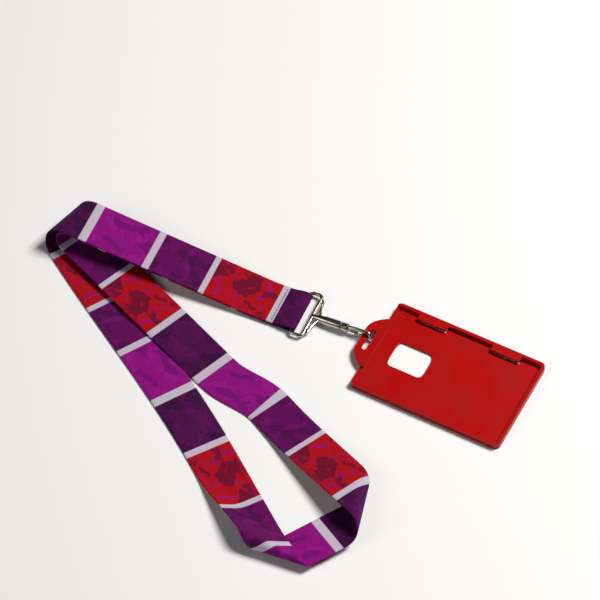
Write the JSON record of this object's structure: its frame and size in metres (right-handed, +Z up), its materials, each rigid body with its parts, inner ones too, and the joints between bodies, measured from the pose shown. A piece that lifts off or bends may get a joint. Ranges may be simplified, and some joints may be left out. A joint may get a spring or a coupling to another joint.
{
  "type": "lanyard badge holder",
  "caption": "Flat printed webbing lanyard laid in a folded loop, sewn to the ring of a metal swivel snap hook that carries a rigid open-faced plastic card holder.",
  "frame": {"origin": "on the table, under the middle of the whole lanyard's outline", "axes": "+X along the card holder away from its tab, +Y across it, +Z up from the table, lengths in metres"},
  "size_m": [0.2796, 0.1764, 0.0175],
  "materials": {
    "holder": "moulded opaque red polystyrene, smooth, softly glossy",
    "webbing": "ribbed polyester webbing, dye printed in red, magenta and purple panels with pale bands between",
    "thread": "dark polyester sewing thread",
    "nickel": "bright nickel plate over cast zinc and steel, slightly warm"
  },
  "bodies": {
    "strap": {"strap": "webbing", "seam_thread": "thread"},
    "ring": {"ring_yoke": "nickel"},
    "hook": {"hook": "nickel", "gate_rivet": "nickel"},
    "gate": {"gate": "nickel"},
    "holder": {"card_holder": "holder"}
  },
  "joints": [
    {"name": "ring_pivot", "type": "hinge", "parent": "strap", "child": "ring", "pos_m": [0.0057, 0.0581, 0.0026], "axis": [0.0628, -0.998, 0], "range_deg": [0, 75]},
    {"name": "swivel", "type": "hinge", "parent": "ring", "child": "hook", "pos_m": [0.02563, 0.05935, 0.00365], "axis": [0.9967, 0.0627, 0.0523], "continuous": true},
    {"name": "gate_spring", "type": "hinge", "parent": "hook", "child": "gate", "pos_m": [0.03287, 0.05981, 0.00283], "axis": [0.0628, -0.998, 0], "range_deg": [0, 11], "stiffness_Nm_per_rad": 0.002},
    {"name": "holder_swing", "type": "hinge", "parent": "hook", "child": "holder", "pos_m": [0.04417, 0.06052, 0.00462], "axis": [0.0628, -0.998, 0], "range_deg": [-8, 12]}
  ]
}
